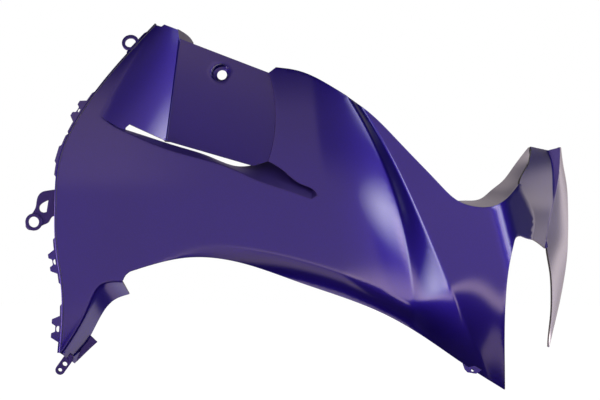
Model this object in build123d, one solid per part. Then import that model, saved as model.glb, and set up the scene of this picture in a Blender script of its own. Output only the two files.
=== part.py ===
from build123d import *
import math
import os

# Side fairing of a motorcycle, one moulding, seen from outside along +Y.
# X runs forward, Y inboard and Z up. The origin is the seat of the fixing bolt.

# Walls
WALL = 3.0
SKIN_WALL = (-0.9, 2.9, 0.0)
NOSE_WALL = (-2.2, 2.0, 0.0)

# Body lines: reach X of each line at four heights
STATION_Z = (-35.0, -160.0, -285.0, -410.0)
SHOULDER_X = (121.5, 139.5, 171.0, 219.5)
CREST_X = (178.0, 238.0, 264.0, 262.5)
FOOT_X = (188.0, 258.0, 314.0, 370.0)
NECK_X = (333.0, 364.0, 397.0, 431.0)
STEP_DEPTH = (14.0, 27.0, 36.0, 40.0)

# Curvature of the skin
WIDEST_Y = -68.0
WIDEST_Z = -190.0
LEAN_TOP_R = 520.0
LEAN_LOW_R = 700.0
REAR_X = 50.0
REAR_R = 2200.0
BULGE_R = 195.0
STEP_HOLLOW = 0.3
FRONT_SLOPE = math.tan(math.radians(5))
NECK_R = 40.0
NECK_TURN = math.radians(60)

# Wheel arch: its edge line, and the roll of the skin along it
ARCH_X = (-46.0, 107.0, 249.0, 397.0)
ARCH_Z = (-253.5, -288.0, -345.0, -443.0)
ROLL_DEPTH = 16.0
ROLL_HEIGHT = 34.0
ROLL_FROM_X = -100.0
ROLL_FULL_X = 150.0
ROLL_BELOW = 0.4
TUCK_DEPTH = 30.0
TUCK_HEIGHT = 150.0
TUCK_FROM_X = 250.0
TUCK_FULL_X = 380.0

# Master body behind the skin
BODY_REAR_X = -320.0
BODY_FRONT_X = 510.0
BODY_BACK_Y = 420.0
BODY_TOP_Z = 110.0
BODY_LOW_Z = -470.0
BODY_SECTIONS = 20

# Points along one section: behind the crest, down the step, to the neck, round its turn and past it
REAR_POINTS = 15
STEP_POINTS = 5
FRONT_POINTS = 6
TURN_POINTS = 7
BAND_POINTS = 2

# Outline of the skin, as X and Z of its corners and of points on its curves
REAR_TOP = (-93.0, 72.0)
REAR_LOW = (-225.0, -388.0)
REAR_EDGE = (
    (-146.0, 12.0), (-197.0, -58.0), (-224.0, -120.0), (-229.0, -180.0), (-228.0, -240.0), (-221.0, -293.0),
)
VENT_NOTCH = ((-85.0, 68.0), (-81.0, 71.0), (-62.0, 64.0), (-60.5, 52.0))
VENT_TOP_FRONT = (66.0, 2.0)
BULGE_TOP = (75.0, 9.0)
TOP_EDGE = ((107.0, 4.0), (153.0, -18.0), (202.0, -51.0), (249.0, -97.0), (305.0, -155.0), (330.0, -177.0))
NECK_EDGE = ((354.0, -185.0), (381.0, -184.0), (401.0, -173.0))
NOSE_CORNER = (421.0, -153.0)
NOSE_CREASE = ((435.5, -180.0), (445.0, -207.0))
WINDOW_FRONT = (440.0, -231.0)
WINDOW_TOP = ((430.0, -228.5), (419.0, -225.5), (414.0, -227.0))
WINDOW_NOSE = ((452.0, -236.0), (464.3, -244.6))
WINDOW_REAR = (411.0, -231.0)
FRONT_EDGE = ((403.0, -262.0), (397.5, -305.0), (396.0, -360.0))
FRONT_TIP = (399.0, -443.5)
ARCH_EDGE = (
    (339.0, -405.0), (286.0, -368.0), (220.0, -330.0), (109.0, -289.0), (23.0, -260.0), (-43.0, -253.5),
)
ARCH_REAR = (-125.0, -273.0)
LEG_TOP = (-136.0, -286.0)
LEG_EDGE = ((-165.0, -289.0), (-186.0, -323.0))

# Vent: a recess in the skin with a facet that dives in from the fold and a floor that rises to the bulge
FOLD_Z = (70.0, 19.0, -60.0)
FOLD_X = (-92.0, -128.0, -167.0)
VALLEY_Z = (53.0, -92.0)
VALLEY_X = (-61.0, -78.5)
VENT_EDGE_Z = (2.0, -60.0, -121.0)
VENT_EDGE_X = (66.0, 76.0, 66.0)
FACET_SLOPE_FOLD = 0.05
FACET_SLOPE_VALLEY = 0.5
VALLEY_STEP = 4.0
VALLEY_STEP_RUN = 2.5
FLOOR_STEP = 6.0
VENT_TOP_Z = 100.0
VENT_LOW_Z = -140.0
VENT_SECTIONS = 9
FACET_POINTS = 7
LINE_POINTS = 4
LIP = ((-150.0, -73.0), (-132.0, -82.0), (-77.0, -105.0), (20.0, -135.0), (46.0, -147.0), (93.0, -163.0))
LIP_END = (125.0, -174.5)
POCKET_END = (134.0, -169.0)
BULGE_LOW = ((131.0, -163.0), (110.0, -152.0), (87.0, -134.0))
SLOT_END = ((-133.0, -80.0), (-132.5, -75.0), (-127.0, -70.0))
FLOOR_EDGE = ((-77.5, -92.5), (45.0, -128.0))
OVERLAP = 3.0
SEAM = 0.6

# Duct floor behind the lip of the vent, at even steps along the lip: lean, rise and depth of its far edge
DUCT_LEAN = (0.0, 0.0, 0.0, 0.0, 0.0, 0.0, 2.0, 5.0, 4.0)
DUCT_RISE = (1.0, 4.5, 8.8, 9.8, 8.0, 7.5, 29.0, 40.0, 14.0)
DUCT_DEPTH = (3.0, 12.0, 22.0, 27.0, 28.0, 28.0, 28.0, 26.0, 10.0)
DUCT_FROM = 0.03
DUCT_TO = 1.0
DUCT_END = (137.0, -172.0)
DUCT_WALL = (0.0, 1.2, -2.4)
RIM_START = 1.0
RIM_DEPTH = 12.0
RIM_SIDE = 1.8
RIM_UP = 1.8

# Fixing bolt: counterbored cup in the floor of the vent
BOLT_HOLE_R = 7.0
BOLT_CUP_R = 12.5
BOLT_CUP_REACH = 40.0

# Nose: reach and depth of its lines at seven heights, from the crease to the centre plane of the bike
NOSE_Z = (-98.0, -125.0, -153.0, -180.0, -207.0, -231.0, -255.0)
NOSE_CREASE_X = (442.0, 436.0, 421.0, 435.5, 445.0, 440.0, 432.0)
NOSE_STEP_X = (471.5, 479.0, 481.0, 477.5, 470.0, 465.5, 463.0)
NOSE_STEP_Y = (170.0, 174.0, 173.0, 163.0, 147.0, 136.0, 128.0)
BLADE_REAR_X = (490.0, 489.0, 485.5, 480.0, 472.0, 467.5, 466.5)
BLADE_REAR_Y = (182.0, 180.5, 177.5, 166.5, 150.0, 139.5, 130.5)
BLADE_FRONT_X = (496.0, 502.0, 507.0, 508.7, 509.2, 508.9, 508.0)
CENTRE_Y = 260.0
BLADE_CROWN = 2.0

# Blade below the nose
BLADE_Z = (-230.0, -254.0, -280.0, -310.0, -340.0, -367.0, -394.0)
BLADE_LOW_REAR_X = (465.0, 467.7, 472.5, 475.3, 476.4, 476.0, 478.0)
BLADE_LOW_REAR_Y = (137.5, 130.5, 135.0, 147.5, 166.5, 193.5, 249.0)
BLADE_LOW_FRONT_X = (509.0, 508.0, 505.0, 500.0, 493.8, 487.0, 479.5)

# Headlight ledge: front edge on the skin, and back edge with its own depth
LEDGE_FRONT = (
    (330.0, -177.0), (341.0, -182.0), (368.0, -185.0), (395.0, -178.0),
    (414.0, -161.0), (430.0, -138.0), (439.0, -112.0),
)
LEDGE_BACK = (
    (330.3, -176.0), (343.3, -175.7), (364.0, -173.7), (384.0, -160.0),
    (404.0, -145.0), (424.0, -122.0), (437.5, -106.0),
)
LEDGE_DEPTH = (4.0, 30.0, 60.0, 82.0, 80.0, 66.0, 25.0)
LEDGE_NOSE_FROM_X = 400.0
LEDGE_NECK_INSET = (-0.6, 1.2, -1.2)
LEDGE_NOSE_INSET = (-0.2, 3.0, 0.0)
LEDGE_WALL = (0.5, 3.0, -1.8)

# Return flange down the inner side of the leg
RETURN_NEAR = ((-137.0, -286.0), (-165.0, -289.0), (-186.0, -323.0), (-199.0, -346.0), (-223.5, -388.0))
RETURN_FAR = ((-128.0, -306.0), (-149.0, -314.0), (-170.5, -340.5), (-183.5, -365.0), (-206.5, -404.5))
RETURN_DEPTH = 30.0
RETURN_WALL = (-1.9, 1.5, 1.5)

# Rear flange with its clip tabs: place along the rear edge, length, reach, half sizes of the hole
FLANGE_SETBACK = 2.2
FLANGE_WALL = 2.4
FLANGE_REACH = 4.0
FLANGE_LAND = 7.0
CLIP_TABS = (
    (0.07, 14.0, 3.0, 2.6, 1.6),
    (0.32, 26.0, 11.0, 2.4, 1.6),
    (0.45, 34.0, 6.0, 0.0, 0.0),
    (0.745, 38.0, 13.0, 3.6, 2.2),
    (0.934, 42.0, 15.0, 4.2, 2.5),
)
TAB_TAPER = 0.62
TAB_HOLE_REACH = 0.25

# Grommet rings, tongue and lower tab
RING_HOLE_R = 7.4
RING_R = 12.0
RING_WALL = 4.0
UPPER_RING = (-128.0, 45.5)
LOWER_RING = (-259.5, -205.5)
RING_ARM = (
    (-228.0, -140.0), (-238.0, -150.0), (-250.0, -164.0), (-257.0, -182.0),
    (-271.0, -202.0), (-262.0, -217.0), (-246.0, -206.0), (-228.0, -196.0),
)
ARM_GAP = (-245.5, -183.5)
ARM_GAP_R = 7.5
TONGUE_ROOT = (-214.0, -396.0)
TONGUE_DEPTH = -9.0
TONGUE_TIP = (-226.5, -413.0)
TONGUE_W = 13.5
TONGUE_WALL = 3.0
TONGUE_HOLES = ((-219.5, -404.5, 3.4), (-226.5, -413.0, 2.8))
LOWER_TAB = ((336.0, -398.0), (341.5, -414.0), (345.5, -418.5), (358.0, -420.5), (366.0, -415.0))
LOWER_TAB_HOLE = (353.0, -415.5, 2.0)
LOWER_TAB_SEAT = (352.0, -409.0)
LOWER_TAB_WALL = 2.5
LEG_TAB = ((-184.0, -364.0), (-174.0, -373.5), (-184.0, -382.0), (-196.0, -387.0), (-188.0, -364.0))
LEG_TAB_DEPTH = -4.0
LEG_TAB_WALL = 2.5

# Return at the top of the vent floor: place, rise and depth of its far edge
VENT_RETURN = ((-60.0, 9.5, 30.0), (-53.0, 8.5, 27.0), (-46.0, 5.0, 17.0), (-40.0, 1.0, 3.0))
VENT_RETURN_WALL = (0.0, 1.4, -2.0)


def curve_through(t, at, values):
    """Value at t of the polynomial through the given stations."""
    total = 0.0
    for i, (ti, vi) in enumerate(zip(at, values)):
        weight = 1.0
        for j, tj in enumerate(at):
            if j != i:
                weight *= (t - tj) / (ti - tj)
        total += weight * vi
    return total


def body_line(values, z):
    return curve_through(z, STATION_Z, values)


def ease(t):
    t = min(max(t, 0.0), 1.0)
    return t * t * (3 - 2 * t)


def neck_turn(run):
    """Depth gained past the start of the neck, round the turn and on along the band behind it."""
    start = math.atan(FRONT_SLOPE)
    sine = math.sin(start) + run / NECK_R
    sine_end = math.sin(NECK_TURN)
    on_arc = min(sine, sine_end)
    depth = NECK_R * (math.cos(start) - math.sqrt(1 - on_arc * on_arc))
    return depth + max(sine - sine_end, 0) * NECK_R * math.tan(NECK_TURN)


def edge_roll(x, z):
    """Depth by which the skin turns under along the wheel arch, from higher up towards the front tip."""
    tuck = ease((x - TUCK_FROM_X) / (TUCK_FULL_X - TUCK_FROM_X))
    reach = ROLL_HEIGHT + tuck * (TUCK_HEIGHT - ROLL_HEIGHT)
    height = (z - curve_through(x, ARCH_X, ARCH_Z)) / reach
    if height >= 1:
        return 0.0
    share = ease((x - ROLL_FROM_X) / (ROLL_FULL_X - ROLL_FROM_X))
    depth = share * (ROLL_DEPTH + tuck * (TUCK_DEPTH - ROLL_DEPTH))
    return depth * (1 - max(height, -ROLL_BELOW)) ** 2


def skin(x, z):
    """Depth Y of the outer face at reach x and height z."""
    shoulder = body_line(SHOULDER_X, z)
    crest = body_line(CREST_X, z)
    foot = body_line(FOOT_X, z)
    neck = body_line(NECK_X, z)
    lean_r = LEAN_TOP_R if z > WIDEST_Z else LEAN_LOW_R
    y = WIDEST_Y + (z - WIDEST_Z) ** 2 / (2 * lean_r)
    y += min(x - REAR_X, 0) ** 2 / (2 * REAR_R)
    y += max(min(x, crest) - shoulder, 0) ** 2 / (2 * BULGE_R)
    down = min(max((x - crest) / (foot - crest), 0), 1)
    y += body_line(STEP_DEPTH, z) * down * (1 + STEP_HOLLOW * (1 - down))
    y += FRONT_SLOPE * max(min(x, neck) - foot, 0)
    if x > neck:
        y += neck_turn(x - neck)
    return y + edge_roll(x, z)


def spaced(start, end, count):
    return [start + (end - start) * i / (count - 1) for i in range(count)]


def skin_edge(xs, z):
    points = [(x, skin(x, z), z) for x in xs]
    return Edge.make_spline(points, parameters=spaced(0, 1, len(xs)))


def closed(edges):
    """Wire through the edges, closed by lines round the back of the master body."""
    first = edges[0] @ 0
    last = edges[-1] @ 1
    back_last = Vector(last.X, BODY_BACK_Y, last.Z)
    back_first = Vector(first.X, BODY_BACK_Y, first.Z)
    corners = (last, back_last, back_first, first)
    return Wire(edges + [Edge.make_line(a, b) for a, b in zip(corners, corners[1:])])


def body_section(z):
    """Outline of everything behind the skin at one height."""
    crest = body_line(CREST_X, z)
    foot = body_line(FOOT_X, z)
    neck = body_line(NECK_X, z)
    turned = neck + NECK_R * (math.sin(NECK_TURN) - math.sin(math.atan(FRONT_SLOPE)))
    edges = [
        skin_edge(spaced(BODY_REAR_X, crest, REAR_POINTS), z),
        skin_edge(spaced(crest, foot, STEP_POINTS), z),
        skin_edge(spaced(foot, neck, FRONT_POINTS), z),
        skin_edge(spaced(neck, turned, TURN_POINTS), z),
        skin_edge(spaced(turned, BODY_FRONT_X, BAND_POINTS), z),
    ]
    return closed(edges)


def body_behind_skin():
    heights = spaced(BODY_LOW_Z, BODY_TOP_Z, BODY_SECTIONS)
    return Solid.make_loft([body_section(z) for z in heights])


def upright(point):
    return (point[0], 0, point[1])


def run(*points):
    """Smooth curve in the XZ plane through the points, or a line for two."""
    places = [upright(p) for p in points]
    if len(places) == 2:
        return Edge.make_line(*places)
    return Edge.make_spline(places)


def lines(*points):
    return [run(a, b) for a, b in zip(points, points[1:])]


def prism(edges):
    """Everything in front of and behind a closed outline in the XZ plane."""
    face = Face(Wire(edges))
    return extrude(face, amount=BODY_BACK_Y, dir=(0, 1, 0), both=True)


def skin_outline():
    return [
        *lines(REAR_TOP, *VENT_NOTCH, VENT_TOP_FRONT, BULGE_TOP),
        run(BULGE_TOP, *TOP_EDGE, *NECK_EDGE, NOSE_CORNER),
        run(NOSE_CORNER, *NOSE_CREASE, WINDOW_FRONT),
        run(WINDOW_FRONT, *WINDOW_TOP, WINDOW_REAR),
        run(WINDOW_REAR, *FRONT_EDGE, FRONT_TIP),
        run(FRONT_TIP, *ARCH_EDGE, ARCH_REAR),
        run(ARCH_REAR, LEG_TOP),
        run(LEG_TOP, *LEG_EDGE, REAR_LOW),
        run(REAR_LOW, *reversed(REAR_EDGE), REAR_TOP),
    ]


def vent_lines(z):
    fold = curve_through(z, FOLD_Z, FOLD_X)
    valley = curve_through(z, VALLEY_Z, VALLEY_X)
    edge = curve_through(z, VENT_EDGE_Z, VENT_EDGE_X)
    return fold, valley, edge


def facet(x, z):
    """Depth of the facet that dives from the fold to the valley."""
    fold, valley, _ = vent_lines(z)
    run_in = x - fold
    bow = (FACET_SLOPE_VALLEY - FACET_SLOPE_FOLD) / (2 * (valley - fold))
    return skin(fold, z) + FACET_SLOPE_FOLD * run_in + bow * run_in * abs(run_in)


def floor(x, z):
    """Depth of the flat floor that rises from the valley to the edge of the bulge."""
    _, valley, edge = vent_lines(z)
    low = facet(valley, z) + VALLEY_STEP
    high = skin(edge, z) + FLOOR_STEP
    start = valley + VALLEY_STEP_RUN
    return low + (high - low) * (x - start) / (edge - start)


def vent_section(z):
    fold, valley, edge = vent_lines(z)
    start = valley + VALLEY_STEP_RUN
    slope_xs = spaced(fold - 2 * OVERLAP, valley, FACET_POINTS)
    slope = [(x, facet(x, z), z) for x in slope_xs]
    foot = (start, floor(start, z), z)
    end = (edge + 2 * OVERLAP, floor(edge + 2 * OVERLAP, z), z)
    edges = [
        Edge.make_spline(slope, parameters=spaced(0, 1, len(slope))),
        Edge.make_line(slope[-1], foot),
        Edge.make_line(foot, end),
    ]
    return closed(edges)


def body_behind_vent():
    heights = spaced(VENT_LOW_Z, VENT_TOP_Z, VENT_SECTIONS)
    return Solid.make_loft([vent_section(z) for z in heights])


def shifted(points, dx, dz):
    return [(x + dx, z + dz) for x, z in points]


def fold_line():
    """Points along the fold, from the lip up past the top edge."""
    zs = spaced(FOLD_Z[-1], VENT_TOP_Z, LINE_POINTS)
    return [(curve_through(z, FOLD_Z, FOLD_X), z) for z in zs]


def vent_edge():
    """Points along the edge of the bulge, upwards."""
    zs = spaced(VENT_EDGE_Z[-1], VENT_EDGE_Z[0], LINE_POINTS)
    return [(curve_through(z, VENT_EDGE_Z, VENT_EDGE_X), z) for z in zs]


def lip_edge():
    return run((FOLD_X[-1], FOLD_Z[-1]), *LIP, LIP_END)


def vent_outline():
    """Outline of the hole that the vent leaves in the skin."""
    fold = fold_line()
    edge = vent_edge()
    above = (edge[-1][0], VENT_TOP_Z)
    return [
        run(*reversed(fold)),
        lip_edge(),
        run(LIP_END, POCKET_END),
        run(POCKET_END, *BULGE_LOW, edge[0]),
        run(*edge),
        *lines(edge[-1], above, fold[-1]),
    ]


def floor_outline():
    """Outline of the facet and floor, which reach under the skin and stop at the slot."""
    fold = shifted(fold_line(), -OVERLAP, 0)
    edge = shifted(vent_edge(), OVERLAP, 0)
    return [
        run(*reversed(fold)),
        *lines(fold[0], *SLOT_END, *FLOOR_EDGE, edge[0]),
        run(*edge),
        *lines(edge[-1], VENT_TOP_FRONT, VENT_NOTCH[-1]),
        *lines(*reversed(VENT_NOTCH), fold[-1]),
    ]


def moved_in(body, depth):
    return body.moved(Location((0, depth, 0)))


def layer(body, edges, start, end):
    """Slice of a body between two depths below its front face, inside an outline."""
    return (moved_in(body, start) & prism(edges)) - moved_in(body, end)


def strip(sections, wall):
    """Thin wall lofted through rows of points, with its thickness along one direction."""
    rings = []
    for row in sections:
        front = [Vector(*p) for p in row]
        back = [p + Vector(*wall) for p in reversed(front)]
        rings.append(Wire.make_polygon(front + back, close=True))
    return Solid.make_loft(rings)


def on_skin(point, lift=0.0):
    return (point[0], skin(*point) + lift, point[1])


def skin_plane(point, depth_of=skin, nudge=1.0):
    """Plane on the skin, or on another face, with its Z axis pointing out of the panel."""
    x, z = point
    along_x = Vector(2 * nudge, depth_of(x + nudge, z) - depth_of(x - nudge, z), 0)
    along_z = Vector(0, depth_of(x, z + nudge) - depth_of(x, z - nudge), 2 * nudge)
    return Plane(origin=(x, depth_of(x, z), z), x_dir=along_x, z_dir=along_x.cross(along_z))


def band(points, dx, dz):
    """Outline of a band between a curve and the same curve moved sideways."""
    far = shifted(points, dx, dz)
    return [run(*points), *lines(points[-1], far[-1]), run(*reversed(far)), *lines(far[0], points[0])]


def rims(body):
    """Walls that go inwards from the edge of the bulge round the vent."""
    side = vent_edge()
    low = [POCKET_END, *BULGE_LOW, side[0]]
    return [layer(body, band(points, RIM_SIDE, RIM_UP), RIM_START, RIM_DEPTH) for points in (side, low)]


def bolt_cup(vent):
    seat = Plane(origin=(0, 0, 0), x_dir=(1, 0, 0), z_dir=skin_plane((0, 0), floor).z_dir)
    boss = extrude(seat * Pos(0, 0, -WALL) * Circle(BOLT_CUP_R + WALL), amount=BOLT_CUP_REACH)
    bore = extrude(seat * Circle(BOLT_CUP_R), amount=BOLT_CUP_REACH)
    hole = extrude(seat * Circle(BOLT_HOLE_R), amount=BOLT_CUP_REACH, both=True)
    return boss & vent, bore + hole


def rear_points():
    return [REAR_TOP, *REAR_EDGE, REAR_LOW]


def rear_flange(body):
    outer = shifted(rear_points(), -FLANGE_REACH, 0)
    outline = band(outer, FLANGE_REACH + FLANGE_LAND, 0)
    return layer(body, outline, FLANGE_SETBACK, FLANGE_SETBACK + FLANGE_WALL)


def clip_tab(body, place, length, reach, hole_long, hole_wide):
    edge = run(*rear_points())
    root = edge.position_at(place)
    along = edge.tangent_at(place)
    out = Vector(along.Z, 0, -along.X)
    tip = length * TAB_TAPER / 2
    corners = [
        root - along * length / 2 - out * FLANGE_LAND,
        root - along * length / 2,
        root - along * tip + out * reach,
        root + along * tip + out * reach,
        root + along * length / 2,
        root + along * length / 2 - out * FLANGE_LAND,
    ]
    outline = lines(*[(p.X, p.Z) for p in corners], (corners[0].X, corners[0].Z))
    tab = layer(body, outline, FLANGE_SETBACK, FLANGE_SETBACK + FLANGE_WALL)
    if hole_long > 0:
        middle = root + out * reach * TAB_HOLE_REACH
        oval = Edge.make_ellipse(hole_long, hole_wide, plane=Plane(middle, x_dir=along, z_dir=(0, -1, 0)))
        tab = tab - prism([oval])
    return tab


def ring(point):
    plane = skin_plane(point)
    flat = extrude(plane * Circle(RING_R), amount=-RING_WALL)
    hole = extrude(plane * Circle(RING_HOLE_R), amount=2 * RING_WALL, both=True)
    return flat, hole


def skin_sheet(body):
    trimmed = body & (prism(skin_outline()) - prism(vent_outline()))
    return trimmed - body.moved(Location(SKIN_WALL))


def vent_sheet(body, vent):
    inside = prism(floor_outline()) & prism(skin_outline())
    return (vent & inside & body) - moved_in(vent, WALL)


def duct():
    """Floor of the air duct, which goes inwards and up from the lip of the vent."""
    lip = run((FOLD_X[-1], FOLD_Z[-1]), *LIP, LIP_END, DUCT_END)
    rows = []
    places = spaced(DUCT_FROM, DUCT_TO, len(DUCT_RISE))
    for place, lean, rise, depth in zip(places, DUCT_LEAN, DUCT_RISE, DUCT_DEPTH):
        near = lip.position_at(place)
        face = skin(near.X, near.Z)
        rows.append([(near.X, face + SEAM, near.Z - SEAM), (near.X + lean, face + depth, near.Z + rise)])
    return strip(rows, DUCT_WALL)


def across_blade(rear, front):
    """Points across the blade: its rear edge, the top of its crown and its front edge."""
    rear = Vector(*rear)
    front = Vector(*front)
    out = (front - rear).cross(Vector(0, 0, 1)).normalized()
    return [tuple(rear), tuple((rear + front) / 2 + out * BLADE_CROWN), tuple(front)]


def nose():
    rows = []
    steps = zip(NOSE_STEP_X, NOSE_STEP_Y)
    rears = zip(BLADE_REAR_X, BLADE_REAR_Y)
    for z, crease_x, step, rear, front_x in zip(NOSE_Z, NOSE_CREASE_X, steps, rears, BLADE_FRONT_X):
        crease = (crease_x - SEAM, skin(crease_x - SEAM, z) + SEAM, z)
        rows.append([crease, (*step, z), *across_blade((*rear, z), (front_x, CENTRE_Y, z))])
    return strip(rows, NOSE_WALL) - prism(window_outline())


def window_outline():
    top = [WINDOW_REAR, *reversed(WINDOW_TOP), WINDOW_FRONT, *WINDOW_NOSE]
    below = min(NOSE_Z) - OVERLAP
    return [run(*top), *lines(top[-1], (top[-1][0], below), (top[0][0], below), top[0])]


def blade():
    rows = []
    rears = zip(BLADE_LOW_REAR_X, BLADE_LOW_REAR_Y)
    for z, rear, front_x in zip(BLADE_Z, rears, BLADE_LOW_FRONT_X):
        rows.append(across_blade((*rear, z), (front_x, CENTRE_Y, z)))
    return strip(rows, NOSE_WALL)


def ledge():
    rows = []
    for front, back, depth in zip(LEDGE_FRONT, LEDGE_BACK, LEDGE_DEPTH):
        inset = LEDGE_NOSE_INSET if front[0] > LEDGE_NOSE_FROM_X else LEDGE_NECK_INSET
        near = Vector(*on_skin(front)) + Vector(*inset)
        rows.append([tuple(near), (back[0], skin(*front) + depth, back[1])])
    return strip(rows, LEDGE_WALL)


def leg_return():
    rows = []
    for near, far in zip(shifted(RETURN_NEAR, -SEAM, SEAM), RETURN_FAR):
        rows.append([on_skin(near, SEAM / 2), (far[0], skin(*near) + RETURN_DEPTH, far[1])])
    return strip(rows, RETURN_WALL)


def plane_points(plane, points):
    """Points of the XZ plane, seen along Y, in the coordinates of a plane on the skin."""
    flat = []
    for x, z in points:
        fall = (x - plane.origin.X) * plane.z_dir.X + (z - plane.origin.Z) * plane.z_dir.Z
        depth = plane.origin.Y - fall / plane.z_dir.Y
        flat.append(plane.to_local_coords(Vector(x, depth, z)))
    return flat


def tongue():
    x, z = TONGUE_ROOT
    plane = Plane(origin=(x, TONGUE_DEPTH, z), x_dir=(1, 0, 0), z_dir=skin_plane(TONGUE_ROOT).z_dir)
    root, tip = plane_points(plane, (TONGUE_ROOT, TONGUE_TIP))
    middle = (root + tip) / 2
    way = tip - root
    turn = math.degrees(math.atan2(way.Y, way.X))
    slot = Pos(middle.X, middle.Y) * Rot(0, 0, turn) * SlotCenterToCenter(way.length, TONGUE_W)
    strap = extrude(plane * Pos(0, 0, -SEAM) * slot, amount=-TONGUE_WALL)
    holes = []
    for x, z, radius in TONGUE_HOLES:
        (place,) = plane_points(plane, ((x, z),))
        disc = plane * Pos(place.X, place.Y) * Circle(radius)
        holes.append(extrude(disc, amount=2 * TONGUE_WALL, both=True))
    return strap, holes


def upright_plate(points, depth, thickness):
    face = Face(Wire(lines(*points, points[0])))
    return extrude(face.moved(Location((0, depth, 0))), amount=thickness, dir=(0, 1, 0))


def lower_tab():
    x, z, radius = LOWER_TAB_HOLE
    tab = upright_plate(LOWER_TAB, skin(*LOWER_TAB_SEAT) + SEAM, LOWER_TAB_WALL)
    return tab - extrude(Plane.XZ * Pos(x, z) * Circle(radius), amount=BODY_BACK_Y, both=True)


def vent_return():
    rows = []
    for x, rise, depth in VENT_RETURN:
        share = (x - VENT_NOTCH[-1][0]) / (VENT_TOP_FRONT[0] - VENT_NOTCH[-1][0])
        z = VENT_NOTCH[-1][1] + share * (VENT_TOP_FRONT[1] - VENT_NOTCH[-1][1]) - SEAM
        rows.append([(x, floor(x, z) + SEAM, z), (x, floor(x, z) + depth, z + rise)])
    return strip(rows, VENT_RETURN_WALL)


def fused(pieces):
    whole = pieces[0]
    for piece in pieces[1:]:
        whole = whole + piece
    return whole


def rear_fixings(body):
    """Set-back flange with its clip tabs and grommet rings, and the holes of the rings."""
    rings = [ring(UPPER_RING), ring(LOWER_RING)]
    arm = layer(body, lines(*RING_ARM, RING_ARM[0]), SEAM, SEAM + RING_WALL)
    gap = extrude(skin_plane(ARM_GAP) * Circle(ARM_GAP_R), amount=2 * RING_WALL, both=True)
    tabs = [clip_tab(body, *tab) for tab in CLIP_TABS]
    pieces = [rear_flange(body), *tabs, arm, *[disc for disc, _ in rings]]
    return fused(pieces), [gap, *[hole for _, hole in rings]]


def fairing_panel():
    body = body_behind_skin()
    vent = body_behind_vent()
    boss, bolt_bore = bolt_cup(vent)
    strap, strap_holes = tongue()
    rear, rear_holes = rear_fixings(body)
    leg_tab = upright_plate(LEG_TAB, LEG_TAB_DEPTH, LEG_TAB_WALL)
    pieces = [
        skin_sheet(body),
        fused([vent_sheet(body, vent), boss, vent_return()]),
        duct(),
        fused([nose(), blade()]),
        ledge(),
        fused([leg_return(), strap, leg_tab]),
        *rims(body),
        rear,
        lower_tab(),
    ]
    return fused(pieces) - [bolt_bore, *strap_holes, *rear_holes]


if __name__ == "__main__":
    os.makedirs("parts", exist_ok=True)
    export_step(fairing_panel(), "parts/fairing_panel.step")
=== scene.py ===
import math

import bmesh
import bpy
import numpy as np
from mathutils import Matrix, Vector
from mathutils.geometry import delaunay_2d_cdt
from mathutils.kdtree import KDTree


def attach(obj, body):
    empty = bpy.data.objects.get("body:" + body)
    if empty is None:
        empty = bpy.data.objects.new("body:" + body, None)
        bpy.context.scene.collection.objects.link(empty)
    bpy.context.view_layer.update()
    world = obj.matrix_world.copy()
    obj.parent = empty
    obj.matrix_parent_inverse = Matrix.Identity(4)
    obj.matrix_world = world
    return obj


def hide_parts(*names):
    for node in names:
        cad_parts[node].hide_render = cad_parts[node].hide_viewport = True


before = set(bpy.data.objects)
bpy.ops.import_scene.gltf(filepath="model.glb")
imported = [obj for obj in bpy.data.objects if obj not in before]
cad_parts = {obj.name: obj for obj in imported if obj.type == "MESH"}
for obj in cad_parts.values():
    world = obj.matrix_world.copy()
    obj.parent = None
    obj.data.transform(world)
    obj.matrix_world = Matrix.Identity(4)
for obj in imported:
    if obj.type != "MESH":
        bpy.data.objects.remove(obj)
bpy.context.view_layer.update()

# The panel's sizes are in millimetres, as on its drawing. A finished mesh is in metres.
MM = 0.001

# Body lines: reach X of each line at four heights
STATION_Z = (-35.0, -160.0, -285.0, -410.0)
SHOULDER_X = (121.5, 139.5, 171.0, 219.5)
CREST_X = (178.0, 238.0, 264.0, 262.5)
FOOT_X = (188.0, 258.0, 314.0, 370.0)
NECK_X = (333.0, 364.0, 397.0, 431.0)
STEP_DEPTH = (14.0, 27.0, 36.0, 40.0)

# Curvature of the skin
WIDEST_Y = -68.0
WIDEST_Z = -190.0
LEAN_TOP_R = 520.0
LEAN_LOW_R = 700.0
REAR_X = 50.0
REAR_R = 2200.0
BULGE_R = 195.0
STEP_HOLLOW = 0.3
FRONT_SLOPE = math.tan(math.radians(5))
NECK_R = 40.0
NECK_TURN = math.radians(60)

# Wheel arch and the roll of the skin along it
ARCH_X = (-46.0, 107.0, 249.0, 397.0)
ARCH_Z = (-253.5, -288.0, -345.0, -443.0)
ROLL_DEPTH = 16.0
ROLL_HEIGHT = 34.0
ROLL_FROM_X = -100.0
ROLL_FULL_X = 150.0
ROLL_BELOW = 0.4
TUCK_DEPTH = 30.0
TUCK_HEIGHT = 150.0
TUCK_FROM_X = 250.0
TUCK_FULL_X = 380.0

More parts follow.
